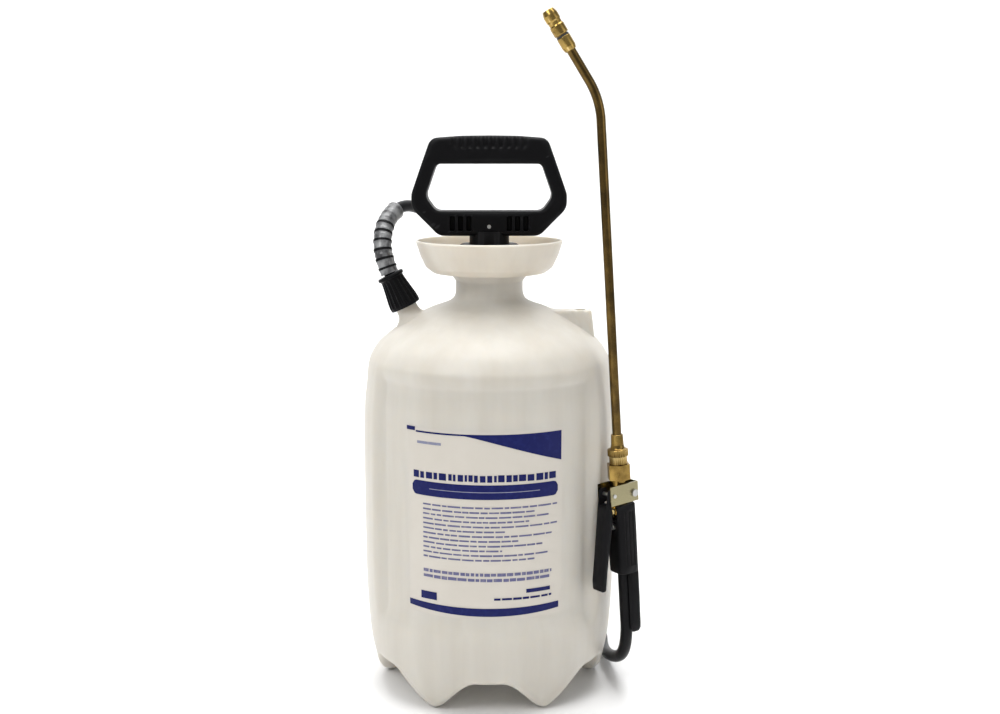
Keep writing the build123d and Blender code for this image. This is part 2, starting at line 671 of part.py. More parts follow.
nozzle_oring = ring(on(TIP, 2.1), 4.9, 4.25, 1.4)
finish(nozzle_oring, "nozzle_oring")

with BuildPart() as nozzle_cap:
    with BuildSketch(side(TIP)):
        with BuildLine():
            Polyline(
                (4.25, 4), (5.6, 4), (5.6, 11), (5.0, 12), (5.0, 14.5), (5.6, 15.5), (5.6, 20), (4.4, 24), (1.4, 24),
                (0.8, 19), (4.25, 18), close=True,
            )
        make_face()
    revolve(axis=Axis(TIP.position, (TIP * Location((0, 0, 1))).position - TIP.position))
finish(nozzle_cap, "nozzle_cap")

print("tip", TIP.position, "top", nozzle_cap.part.bounding_box().max)
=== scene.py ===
import math
import bmesh
import bpy
import numpy as np
from mathutils import Matrix, Vector


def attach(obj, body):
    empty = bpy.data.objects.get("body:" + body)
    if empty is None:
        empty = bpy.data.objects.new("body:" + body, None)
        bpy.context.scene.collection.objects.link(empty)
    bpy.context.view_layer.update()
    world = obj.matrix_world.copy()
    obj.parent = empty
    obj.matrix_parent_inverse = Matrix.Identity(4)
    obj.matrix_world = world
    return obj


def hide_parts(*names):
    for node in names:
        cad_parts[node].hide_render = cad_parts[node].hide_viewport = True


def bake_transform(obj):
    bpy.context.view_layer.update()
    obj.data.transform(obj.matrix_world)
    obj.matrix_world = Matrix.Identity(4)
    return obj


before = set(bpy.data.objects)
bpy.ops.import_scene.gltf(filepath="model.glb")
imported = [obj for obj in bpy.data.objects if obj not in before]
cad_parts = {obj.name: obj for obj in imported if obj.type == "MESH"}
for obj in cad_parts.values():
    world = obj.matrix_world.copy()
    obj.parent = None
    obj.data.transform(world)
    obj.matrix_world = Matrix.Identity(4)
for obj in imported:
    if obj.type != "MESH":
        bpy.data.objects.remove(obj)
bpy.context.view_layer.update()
MM = 0.001

# ---- shared sizes, mm ----
WALL = 3.0
SEAT_Z = 332.0
NECK_BORE_R = 23.2
FEET = 6
ARCH_TOP = 26.0
HOSE_R, GUARD_R = 4.75, 7.4
HOSE_START_Z, HOSE_FIRST_Z = 28.0, 47.5          # on the outlet's own Z
HOSE_TURN_Z, HOSE_NEAR_Z, HOSE_END_Z = -156, -134, -92   # on the wand's own Z
BASE_Z = 24.0                                     # height of the base's dome inside the feet
SHOULDER_TOP_Z = 307.5
LUG_TOP_Z, LUG_HOLE_X, LUG_HOLE_R = 300.0, 72, 4.2
INK_PROUD = 0.22
STEM_Z = -56.0
LEVER_PIN = (-12, 0, -42)
HANDLE_HALF = 13.0
OUTLET = Matrix.Translation((-61.5, 0, 293.7)) @ Matrix.Rotation(math.radians(-26), 4, "Y")
WAND = Matrix.Translation((97.6, -51, 208)) @ Matrix.Rotation(math.radians(-3.7), 4, "Y")
VALVE = WAND @ Matrix.Rotation(math.radians(35), 4, "Z")
BEND_Z, BEND_ANGLE, BEND_R, UPPER_RUN = 253.5, 27.9, 62.0, 49.8
TIP = (WAND @ Matrix.Translation((0, 0, BEND_Z)) @ Matrix.Rotation(math.radians(-BEND_ANGLE), 4, "Y")
       @ Matrix.Translation((0, 0, UPPER_RUN)))
FLAT = Matrix.Identity(4)


# ---- camera ----
def camera():
    """A 45 mm lens a little under a metre away, slightly above the handle, looking down at the tank."""
    cam = bpy.data.cameras.new("camera")
    cam.lens, cam.sensor_width = 45.0, 36.0
    cam.clip_start, cam.clip_end = 0.05, 50
    eye = bpy.data.objects.new("camera", cam)
    eye.location = (8.4 * MM, -980 * MM, 426 * MM)
    eye.rotation_euler = (math.radians(90 - 9.5), 0, 0)
    bpy.context.collection.objects.link(eye)
    bpy.context.scene.camera = eye


camera()


# ---- mesh helpers, all in mm until the object is made ----
def piece(name, verts, faces, body, slot, material, replaces=(), sharp=40.0, place=FLAT):
    """A mesh object from points in mm, riding on a body and standing for CAD nodes."""
    mesh = bpy.data.meshes.new(name)
    mesh.from_pydata([tuple((place @ Vector(v)) * MM) for v in verts], [], faces)
    mesh.validate()
    return dress(bpy.data.objects.new(name, mesh), body, material, replaces, sharp)


def face_outward(mesh):
    work = bmesh.new()
    work.from_mesh(mesh)
    bmesh.ops.recalc_face_normals(work, faces=work.faces[:])
    work.to_mesh(mesh)
    work.free()


def dress(obj, body, material, replaces=(), sharp=40.0):
    """Outward normals, smooth shading, material and body for a finished mesh object."""
    mesh = obj.data
    if obj.name not in bpy.context.scene.collection.all_objects:
        bpy.context.collection.objects.link(obj)
    face_outward(mesh)
    mesh.shade_smooth()
    mesh.set_sharp_from_angle(angle=math.radians(sharp))
    mesh.materials.clear()
    mesh.materials.append(material)
    if body:
        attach(obj, body)
    if replaces:
        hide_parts(*replaces)
    return obj


def ring_faces(rows, columns, close_rows=False):
    """Quads between rings of the same number of points."""
    faces = []
    last = rows if close_rows else rows - 1
    for i in range(last):
        here, there = i * columns, ((i + 1) % rows) * columns
        for j in range(columns):
            k = (j + 1) % columns
            faces.append((here + j, here + k, there + k, there + j))
    return faces


def capped(rows, columns):
    """Quads between rings, and a face over the first and the last ring."""
    caps = [tuple(reversed(range(columns))), tuple(range((rows - 1) * columns, rows * columns))]
    return ring_faces(rows, columns) + caps


def softened(points, radius, steps=4, closed=True):
    """The same outline with each corner rounded to a radius, or as much of it as the sides allow."""
    count = len(points)
    result = []
    for i, point in enumerate(points):
        if not closed and i in (0, count - 1):
            result.append(tuple(point))
            continue
        corner = Vector(point[:2])
        r = point[2] if len(point) > 2 else radius
        before = Vector(points[i - 1][:2]) - corner
        after = Vector(points[(i + 1) % count][:2]) - corner
        if r <= 0 or before.length < 1e-6 or after.length < 1e-6:
            result.append(tuple(corner))
            continue
        half = before.angle(after) / 2
        if half > math.radians(89.5):
            result.append(tuple(corner))
            continue
        reach = min(r / math.tan(half), 0.49 * before.length, 0.49 * after.length)
        start, end = corner + before.normalized() * reach, corner + after.normalized() * reach
        for step in range(steps + 1):
            t = step / steps
            result.append(tuple(start * (1 - t) ** 2 + corner * 2 * t * (1 - t) + end * t ** 2))
    return result


def lathe(name, outline, body, slot, material, replaces=(), place=FLAT, radius=0.4, columns=64, shape=None,
          sharp=40.0):
    """Turns a closed outline of (radius, height) about the place's own Z.

    shape(angle, height, radius) scales the radius.
    """
    outline = softened(outline, radius)
    verts = []
    for r, z in outline:
        for j in range(columns):
            angle = 2 * math.pi * j / columns
            grown = r * (shape(angle, z, r) if shape else 1.0)
            verts.append((grown * math.cos(angle), grown * math.sin(angle), z))
    faces = ring_faces(len(outline), columns, True)
    return piece(name, verts, faces, body, slot, material, replaces, sharp, place)


def frames_along(points):
    """Tangent and two normals at each point of a path, carried along without twisting."""
    points = [Vector(p) for p in points]
    tangents = []
    for i in range(len(points)):
        tangents.append((points[min(i + 1, len(points) - 1)] - points[max(i - 1, 0)]).normalized())
    normal = tangents[0].orthogonal().normalized()
    frames = []
    for i, tangent in enumerate(tangents):
        if i:
            normal = tangents[i - 1].rotation_difference(tangent) @ normal
        normal = (normal - tangent * normal.dot(tangent)).normalized()
        frames.append((points[i], tangent, normal, tangent.cross(normal)))
    return frames


def tube_mesh(points, radii, columns=24, inner=None):
    """Rings along a path. With inner radii the tube is hollow, else it is capped."""
    frames = frames_along(points)
    verts = []

    def rings(sizes, order):
        for i in order:
            centre, _, u, v = frames[i]
            for j in range(columns):
                angle = 2 * math.pi * j / columns
                verts.append(tuple(centre + (u * math.cos(angle) + v * math.sin(angle)) * sizes[i]))

    count = len(frames)
    rings(radii, range(count))
    if inner:
        rings(inner, reversed(range(count)))
        return verts, ring_faces(2 * count, columns, True)
    return verts, capped(count, columns)


def spline_points(route, resolution=16):
    """Points of the smooth line that a route's points control, in the route's own units."""
    curve = bpy.data.curves.new("route", "CURVE")
    curve.dimensions = "3D"
    curve.resolution_u = resolution
    spline = curve.splines.new("NURBS")
    spline.points.add(len(route) - 1)
    for point, place in zip(spline.points, route):
        point.co = (*place, 1)
    spline.order_u = 3
    spline.use_endpoint_u = True
    holder = bpy.data.objects.new("route", curve)
    bpy.context.collection.objects.link(holder)
    line = bpy.data.meshes.new_from_object(holder)
    points = [v.co.copy() for v in line.vertices]
    bpy.data.objects.remove(holder)
    bpy.data.curves.remove(curve)
    bpy.data.meshes.remove(line)
    return points


def cut(obj, tool_parts, operation="DIFFERENCE"):
    """Cuts (or adds) closed meshes, given as (verts, faces) in mm, from an object in mm, and applies it."""
    for verts, faces in tool_parts:
        tool = raw("tool", verts, faces)
        mesh = tool.data
        modifier = obj.modifiers.new("cut", "BOOLEAN")
        modifier.operation = operation
        modifier.solver = "MANIFOLD"
        modifier.object = tool
        bpy.context.view_layer.update()
        evaluated = obj.evaluated_get(bpy.context.evaluated_depsgraph_get())
        result = bpy.data.meshes.new_from_object(evaluated)
        obj.modifiers.clear()
        old = obj.data
        obj.data = result
        bpy.data.meshes.remove(old)
        bpy.data.objects.remove(tool)
        bpy.data.meshes.remove(mesh)
    return obj


def raw(name, verts, faces):
    """A bare mesh object in mm, to be cut and then scaled and dressed."""
    mesh = bpy.data.meshes.new(name)
    mesh.from_pydata([tuple(v) for v in verts], [], faces)
    face_outward(mesh)
    obj = bpy.data.objects.new(name, mesh)
    bpy.context.collection.objects.link(obj)
    return obj


def to_metres(obj, place=FLAT):
    obj.data.transform(Matrix.Scale(MM, 4) @ place)
    return obj


def rounded_box(low, high, radius=0.6):
    """A box with rounded vertical edges and soft rims, as (verts, faces)."""
    (x0, y0, z0), (x1, y1, z1) = low, high
    outline = softened([(x0, y0), (x1, y0), (x1, y1), (x0, y1)], radius, 4)
    verts = []
    levels = [(z0, radius * 0.5), (z0 + radius * 0.5, 0), (z1 - radius * 0.5, 0), (z1, radius * 0.5)]
    cx, cy = (x0 + x1) / 2, (y0 + y1) / 2
    for z, inset in levels:
        sx = 1 - 2 * inset / (x1 - x0)
        sy = 1 - 2 * inset / (y1 - y0)
        for x, y in outline:
            verts.append((cx + (x - cx) * sx, cy + (y - cy) * sy, z))
    count = len(outline)
    return verts, capped(len(levels), count)


def turned(outline, columns=64, place=FLAT):
    """An open outline of (radius, height) turned about the place's own Z and capped, as (verts, faces)."""
    verts = []
    for r, z in outline:
        for j in range(columns):
            angle = 2 * math.pi * j / columns
            verts.append(tuple(place @ Vector((r * math.cos(angle), r * math.sin(angle), z))))
    return verts, capped(len(outline), columns)


def cylinder(radius, low, high, place=FLAT, columns=40):
    """A plain capped cylinder on the place's own Z, as (verts, faces)."""
    return turned([(radius, low), (radius, high)], columns, place)


def joined(parts):
    """Several meshes as one (verts, faces)."""
    verts, faces = [], []
    for v, f in parts:
        faces += [tuple(i + len(verts) for i in face) for face in f]
        verts += list(v)
    return verts, faces


def smooth_step(t):
    t = np.clip(t, 0.0, 1.0)
    return t * t * (3 - 2 * t)


def through(points):
    """A smooth curve x -> y through points, with no overshoot between them."""
    x, y = np.array([p[0] for p in points], float), np.array([p[1] for p in points], float)
    h, d = np.diff(x), np.diff(y) / np.diff(x)
    slope = np.zeros_like(y)
    slope[1:-1] = np.where(d[:-1] * d[1:] > 0, 2 * d[:-1] * d[1:] / (d[:-1] + d[1:] + 1e-12), 0)
    slope[0], slope[-1] = d[0], d[-1]

    def value(at):
        at = np.clip(np.asarray(at, float), x[0], x[-1])
        i = np.clip(np.searchsorted(x, at) - 1, 0, len(h) - 1)
        t = (at - x[i]) / h[i]
        return (
            y[i] * (1 + 2 * t) * (1 - t) ** 2 + slope[i] * h[i] * t * (1 - t) ** 2
            + y[i + 1] * t * t * (3 - 2 * t) + slope[i + 1] * h[i] * t * t * (t - 1)
        )
    return value


# ---- materials ----
class Nodes:
    """A principled material with short calls for the nodes that its look needs."""

    def __init__(self, name, colour, roughness, metallic=0.0):
        self.material = bpy.data.materials.new(name)
        self.material.use_nodes = True
        self.tree = self.material.node_tree
        self.shader = self.tree.nodes["Principled BSDF"]
        self.shader.inputs["Base Color"].default_value = (*colour, 1)
        self.shader.inputs["Roughness"].default_value = roughness
        self.shader.inputs["Metallic"].default_value = metallic
        self.place = self.add("ShaderNodeTexCoord").outputs["Object"]

    def add(self, kind, **settings):
        node = self.tree.nodes.new(kind)
        for key, value in settings.items():
            setattr(node, key, value)
        return node

    def set(self, **values):
        for key, value in values.items():
            self.shader.inputs[key.replace("_", " ")].default_value = value

    def link(self, out, into):
        self.tree.links.new(out, into)

    def stretched(self, scale):
        """Object coordinates scaled per axis."""
        node = self.add("ShaderNodeMapping")
        node.inputs["Scale"].default_value = scale
        self.link(self.place, node.inputs["Vector"])
        return node.outputs["Vector"]

    def noise(self, scale, detail=3.0, stretch=None, roughness=0.55):
        node = self.add("ShaderNodeTexNoise")
        node.inputs["Scale"].default_value = scale
        node.inputs["Detail"].default_value = detail
        node.inputs["Roughness"].default_value = roughness
        self.link(self.stretched(stretch) if stretch else self.place, node.inputs["Vector"])
        return node.outputs["Fac"]

    def ramp(self, value, stops):
        """Colour or grey stops: [(position, colour or number), ...]."""
        node = self.add("ShaderNodeValToRGB")
        band = node.color_ramp
        while len(band.elements) < len(stops):
            band.elements.new(0.5)
        for element, (position, colour) in zip(band.elements, stops):
            element.position = position
            element.color = (colour, colour, colour, 1) if isinstance(colour, (int, float)) else (*colour, 1)
        self.link(value, node.inputs["Fac"])
        return node.outputs["Color"]

    def mix(self, factor, first, second):
        node = self.add("ShaderNodeMix", data_type="RGBA")
        for socket, value in ((0, factor), (6, first), (7, second)):
            if isinstance(value, (int, float)):
                node.inputs[socket].default_value = value
            elif isinstance(value, tuple):
                node.inputs[socket].default_value = (*value, 1)
            else:
                self.link(value, node.inputs[socket])
        return node.outputs[2]

    def colour(self, out):
        self.link(out, self.shader.inputs["Base Color"])

    def rough(self, value, low, high):
        """Roughness that varies with a 0 to 1 value."""
        node = self.add("ShaderNodeMapRange")
        node.inputs["To Min"].default_value = low
        node.inputs["To Max"].default_value = high
        self.link(value, node.inputs["Value"])
        self.link(node.outputs["Result"], self.shader.inputs["Roughness"])

    def bump(self, *layers):
        """Stacked bumps: (height value, strength, distance in metres)."""
        normal = None
        for value, strength, distance in layers:
            node = self.add("ShaderNodeBump")
            node.inputs["Strength"].default_value = strength
            node.inputs["Distance"].default_value = distance
            self.link(value, node.inputs["Height"])
            if normal is not None:
                self.link(normal, node.inputs["Normal"])
            normal = node.outputs["Normal"]
        self.link(normal, self.shader.inputs["Normal"])

    def edges(self, low=0.50, high=0.58):
        """0 on flats and 1 on sharp convex edges: the mask for the brass's painted edge highlight and for the black
        plastic's lighter edges.
        """
        return self.ramp(self.add("ShaderNodeNewGeometry").outputs["Pointiness"], [(low, 0.0), (high, 1.0)])


def poly_tank_material():
    """Natural blow-moulded polyethylene: milky, warm grey-white, faintly streaked along the parison."""
    m = Nodes("tank_polyethylene", (0.60, 0.56, 0.50), 0.42)
    m.set(IOR=1.52, Subsurface_Weight=0.5, Subsurface_Scale=0.010, Specular_IOR_Level=0.36)
    m.shader.inputs["Subsurface Radius"].default_value = (1.0, 0.82, 0.62)
    streaks = m.noise(9.0, 3.0, (5, 5, 0.55))
    cloud = m.noise(14.0, 4.0)
    warm = m.ramp(streaks, [(0.32, (0.560, 0.520, 0.455)), (0.68, (0.635, 0.600, 0.540))])
    m.colour(m.mix(0.25, warm, m.ramp(cloud, [(0.3, (0.57, 0.53, 0.465)), (0.7, (0.64, 0.605, 0.545))])))
    m.rough(cloud, 0.36, 0.50)
    m.bump((m.noise(35.0, 2.0, (6, 6, 1)), 0.10, 0.0006), (m.noise(900.0, 2.0), 0.06, 0.0002))
    return m.material


def black_plastic_material(name, colour=(0.0035, 0.0035, 0.004), grain=1400.0, roughness=(0.36, 0.50)):
    """Moulded polypropylene: near black with a fine spark-eroded grain, lighter along sharp convex edges."""
    m = Nodes(name, colour, 0.42)
    m.set(IOR=1.49, Specular_IOR_Level=0.09)
    lighter = tuple(c * 3 + 0.006 for c in colour)
    body = m.mix(m.noise(60.0, 4.0), colour, tuple(c * 1.5 for c in colour))
    m.colour(m.mix(m.edges(0.505, 0.60), body, lighter))
    m.rough(m.noise(120.0, 4.0), *roughness)
    m.bump((m.noise(grain, 2.0), 0.16, 0.00012), (m.noise(70.0, 2.0), 0.05, 0.0004))
    return m.material


def hose_material():
    m = Nodes("hose_rubber", (0.005, 0.005, 0.006), 0.38)
    m.set(Specular_IOR_Level=0.10)
    m.colour(m.mix(m.noise(40.0, 4.0), (0.003, 0.003, 0.004), (0.009, 0.009, 0.010)))
    m.rough(m.noise(90.0, 3.0), 0.28, 0.46)
    m.bump((m.noise(500.0, 2.0), 0.10, 0.00015))
    return m.material


def guard_material():
    """Grey clear vinyl with the dark hose showing through, and painted shade darkening it towards its outline."""
    m = Nodes("guard_vinyl", (0.20, 0.20, 0.205), 0.28)
    m.set(IOR=1.52, Transmission_Weight=0.12, Specular_IOR_Level=0.5)
    thin, thick = (0.045, 0.045, 0.048), (0.30, 0.305, 0.31)
    blotches = m.ramp(m.noise(150.0, 4.0, (1, 1, 0.6)), [(0.36, thin), (0.62, thick)])
    # painted shade: the colour darkens where the surface turns away from the camera, towards the sleeve's outline
    silhouette_shade = m.add("ShaderNodeLayerWeight")
    silhouette_shade.inputs["Blend"].default_value = 0.45
    m.colour(m.mix(m.ramp(silhouette_shade.outputs["Facing"], [(0.35, 0.0), (0.95, 1.0)]), blotches, (0.05, 0.05, 0.052)))
    m.bump((m.noise(300.0, 2.0), 0.10, 0.0002))
    return m.material


def brass_material(name="brass", base=(0.40, 0.265, 0.075), dark=(0.07, 0.038, 0.011), tarnish=0.6,
                   roughness=(0.16, 0.34), drawn=False, edge_highlight=(0.70, 0.53, 0.23)):
    """Brass with darker tarnish in patches, and a painted highlight: its sharp convex edges are brightened."""
    m = Nodes(name, base, 0.24, 1.0)
    patches = m.ramp(m.noise(55.0, 6.0), [(0.60 - 0.3 * tarnish, 0.0), (0.86 - 0.2 * tarnish, 1.0)])
    body = m.mix(patches, base, dark)
    # the bright edge colour here is a painted highlight: sharp convex edges are lightened to stand in for light
    # catching them
    m.colour(m.mix(m.edges(0.51, 0.60), body, edge_highlight))
    m.rough(m.noise(140.0, 4.0), *roughness)
    lines = m.noise(600.0, 2.0, (1, 1, 0.02)) if drawn else m.noise(500.0, 3.0)
    m.bump((lines, 0.08, 0.0001))
    return m.material


def steel_material(name="zinc_steel", base=(0.58, 0.58, 0.56)):
    m = Nodes(name, base, 0.3, 1.0)
    m.colour(m.mix(m.noise(80.0, 5.0), base, tuple(c * 0.72 for c in base)))
    m.rough(m.noise(200.0, 4.0), 0.22, 0.42)
    m.bump((m.noise(700.0, 3.0), 0.08, 0.0001))
    return m.material


def plastic_material(name, colour, roughness=(0.35, 0.5)):
    m = Nodes(name, colour, 0.42)
    m.set(Subsurface_Weight=0.15, Subsurface_Scale=0.004)
    m.colour(m.mix(m.noise(50.0, 4.0), colour, tuple(c * 0.86 for c in colour)))
    m.rough(m.noise(120.0, 3.0), *roughness)
    m.bump((m.noise(900.0, 2.0), 0.08, 0.00015))
    return m.material


def rubber_material():
    m = Nodes("seal_rubber", (0.02, 0.02, 0.02), 0.6)
    m.colour(m.mix(m.noise(70.0, 4.0), (0.014, 0.014, 0.014), (0.035, 0.034, 0.033)))
    m.rough(m.noise(90.0, 3.0), 0.5, 0.75)
    m.bump((m.noise(700.0, 2.0), 0.12, 0.00015))
    return m.material


def film_material():
    """The label's film: the tank's colour, a little whiter and smoother."""
    m = Nodes("label_film", (0.60, 0.565, 0.505), 0.34)
    m.colour(m.mix(m.noise(30.0, 4.0), (0.565, 0.525, 0.460), (0.635, 0.60, 0.54)))
    m.rough(m.noise(80.0, 3.0), 0.28, 0.42)
    m.bump((m.noise(60.0, 2.0, (3, 3, 1)), 0.05, 0.0004))
    return m.material


def ink_material(name, colour, pale):
    """Screen ink, thinner in places so that the film shows through."""
    m = Nodes(name, colour, 0.36)
    m.set(Specular_IOR_Level=0.2)
    m.colour(m.mix(m.ramp(m.noise(260.0, 5.0), [(0.50, 0.0), (0.80, 0.55)]), colour, pale))
    m.rough(m.noise(150.0, 3.0), 0.30, 0.46)
    m.bump((m.noise(1200.0, 2.0), 0.05, 0.00008))
    return m.material


POLY = poly_tank_material()
BLACK = black_plastic_material("black_polypropylene")
GRIP_BLACK = black_plastic_material("grip_polypropylene", (0.003, 0.003, 0.0035), 1100.0, (0.40, 0.56))
HOSE = hose_material()
GUARD = guard_material()
BRASS = brass_material("turned_brass")
TUBE_BRASS = brass_material("drawn_brass", (0.17, 0.105, 0.03), (0.03, 0.018, 0.008), 0.8, (0.14, 0.28),
                            drawn=True)
STEEL = steel_material()
# the yoke's bright edge colour is a painted highlight too
PLATED = brass_material("plated_yoke", (0.22, 0.20, 0.12), (0.05, 0.042, 0.02), 0.8,
                        edge_highlight=(0.30, 0.27, 0.16))
GREY_PLASTIC = plastic_material("pump_plastic", (0.42, 0.43, 0.44))
RUBBER = rubber_material()
FILM = film_material()
INK = ink_material("label_ink", (0.0015, 0.005, 0.085), (0.012, 0.022, 0.15))
PALE_INK = ink_material("label_fine_ink", (0.13, 0.13, 0.25), (0.36, 0.34, 0.36))
GREY_INK = ink_material("label_grey_ink", (0.22, 0.23, 0.33), (0.40, 0.39, 0.40))
FLOOR_PAINT = Nodes("floor", (0.90, 0.90, 0.90), 0.6).material


# ---- hose and its bend guard ----
def hose():
    """The hose's route, nut to grip, in mm: the same points as the CAD tube's."""
    start, first = (OUTLET @ Vector((0, 0, z)) for z in (HOSE_START_Z, HOSE_FIRST_Z))
    turn, near_turn, end = (WAND @ Vector((0, 0, z)) for z in (HOSE_TURN_Z, HOSE_NEAR_Z, HOSE_END_Z))
    floor = HOSE_R
    route = [
        start, first, (-85, 7, 358), (-79.5, 21.5, 374), (-68.5, 40, 381), (-54.5, 64, 375.5),
        (-25, 83.5, 353.5), (-14, 100, 330), (-9, 112, 275), (-7, 120, 205), (-6, 130, 135), (-6, 139, 86),
        (-3, 148, 48), (9, 155, 18), (38, 155, floor), (68, 137, floor), (90, 107, floor),
        (98.5, 70, floor), (96, 36, floor), (98.5, 4, 10.5), (104, -23, 20), (107, -41, 33),
        turn, near_turn, end,
    ]
    points = spline_points(route)
    verts, faces = tube_mesh(points, [HOSE_R] * len(points), 28)
    obj = piece("hose_tube", verts, faces, None, "black_hose", HOSE, ["hose"], 60)
    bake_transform(obj)
    length = sum((b - a).length for a, b in zip(points, points[1:]))
    return obj, [p * MM for p in points], length


def hose_guard(points):
    """The grey vinyl sleeve over the hose's first stretch, ribbed near the nut."""
    guard_start, guard_length = 10.2, 62.0
    path, travelled = [], 0.0
    for a, b in zip(points, points[1:]):
        travelled += (b - a).length / MM
        if guard_start < travelled < guard_start + guard_length:
            path.append(b / MM)
    fine = []
    for a, b in zip(path, path[1:]):
        for step in range(4):
            fine.append(a.lerp(b, step / 4))
    radii = []
    walked = 0.0
    for i, p in enumerate(fine):
        if i:
            walked += (p - fine[i - 1]).length
        ripple = 0.28 * math.cos(2 * math.pi * walked / 10.0) ** 8
        end_lip = 0.25 * math.exp(-((guard_length - walked - 2) / 1.5) ** 2)
        radii.append(GUARD_R - 0.45 + ripple + end_lip)
    verts, faces = tube_mesh(fine, radii, 36, [HOSE_R + 0.12] * len(fine))
    guard = piece("hose_guard_sleeve", verts, faces, "tank", "grey_guard", GUARD, ["hose_guard"], 50)
    rings = []
    for k in range(6):
        centre = 5.0 + 7.0 * k
        ring = slice_of(fine, centre - 0.9, centre + 0.9)
        rings.append(tube_mesh(ring, [GUARD_R + 0.02] * len(ring), 36, [GUARD_R - 0.5] * len(ring)))
    bands = piece("hose_guard_bands", *joined(rings), "tank", "black_plastic", BLACK, (), 50)
    return guard, bands


def slice_of(points, low, high, steps=4):
    """Evenly spaced points of a path between two distances along it."""
    result = []
    for k in range(steps + 1):
        want, walked = low + (high - low) * k / steps, 0.0
        for a, b in zip(points, points[1:]):
            run = (b - a).length
            if walked + run >= want:
                result.append(a.lerp(b, (want - walked) / run))
                break
            walked += run
    return result


hose_obj, hose_line, hose_length = hose()
guard_obj, bands_obj = hose_guard(hose_line)


# ---- tank ----
PANEL_TURN = math.radians(-3.0)
side_radius = through([
    (0, 86), (9, 89.5), (25, 94), (42, 97), (62, 98.6), (85, 99.6), (115, 100), (190, 100), (215, 99.6), (232, 98.6),
    (243, 97.2), (254, 96.2), (262, 94.6), (270, 90.6), (275, 87), (283, 78), (291, 66), (297.5, 55), (302, 45.7),
    (305.3, 36), (307.5, 31),
])
front_radius = through([
    (0, 86), (9, 89.5), (25, 94), (42, 96.4), (58, 97.2), (64, 96.4), (70, 94.4), (77, 93.2), (84, 93.0), (222, 93.0),
    (232, 92.9), (240, 92.2), (246, 91.5), (251, 91.7), (256, 93.6), (261, 94.4), (270, 90.6), (275, 87), (283, 78),
    (291, 66), (297.5, 55), (302, 45.7), (305.3, 36), (307.5, 31),
])


def panel_share(angle):
    """1 across the front and back label panels, 0 on the flanks."""
    from_front = np.minimum(
        np.abs(np.angle(np.exp(1j * (angle + math.pi / 2 - PANEL_TURN)))),
        np.abs(np.angle(np.exp(1j * (angle - math.pi / 2 - PANEL_TURN)))),
    )
    return 1 - smooth_step((from_front - math.radians(54)) / math.radians(8))


def wall_radius(angle, z):
    share = panel_share(angle)
    return side_radius(z) * (1 - share) + front_radius(z) * share


def foot_height(angle):
    """How high the tank's lower edge stands: 0 at the six feet, the arch top between them."""
    period = 2 * math.pi / FEET
    along = np.abs(((angle + period / 2) % period) - period / 2)      # 0 at a foot, period / 2 in an arch
    from_arch = (period / 2 - along) * 84.0
    return ARCH_TOP * (1 - smooth_step((from_arch - 9.0) / 37.0))


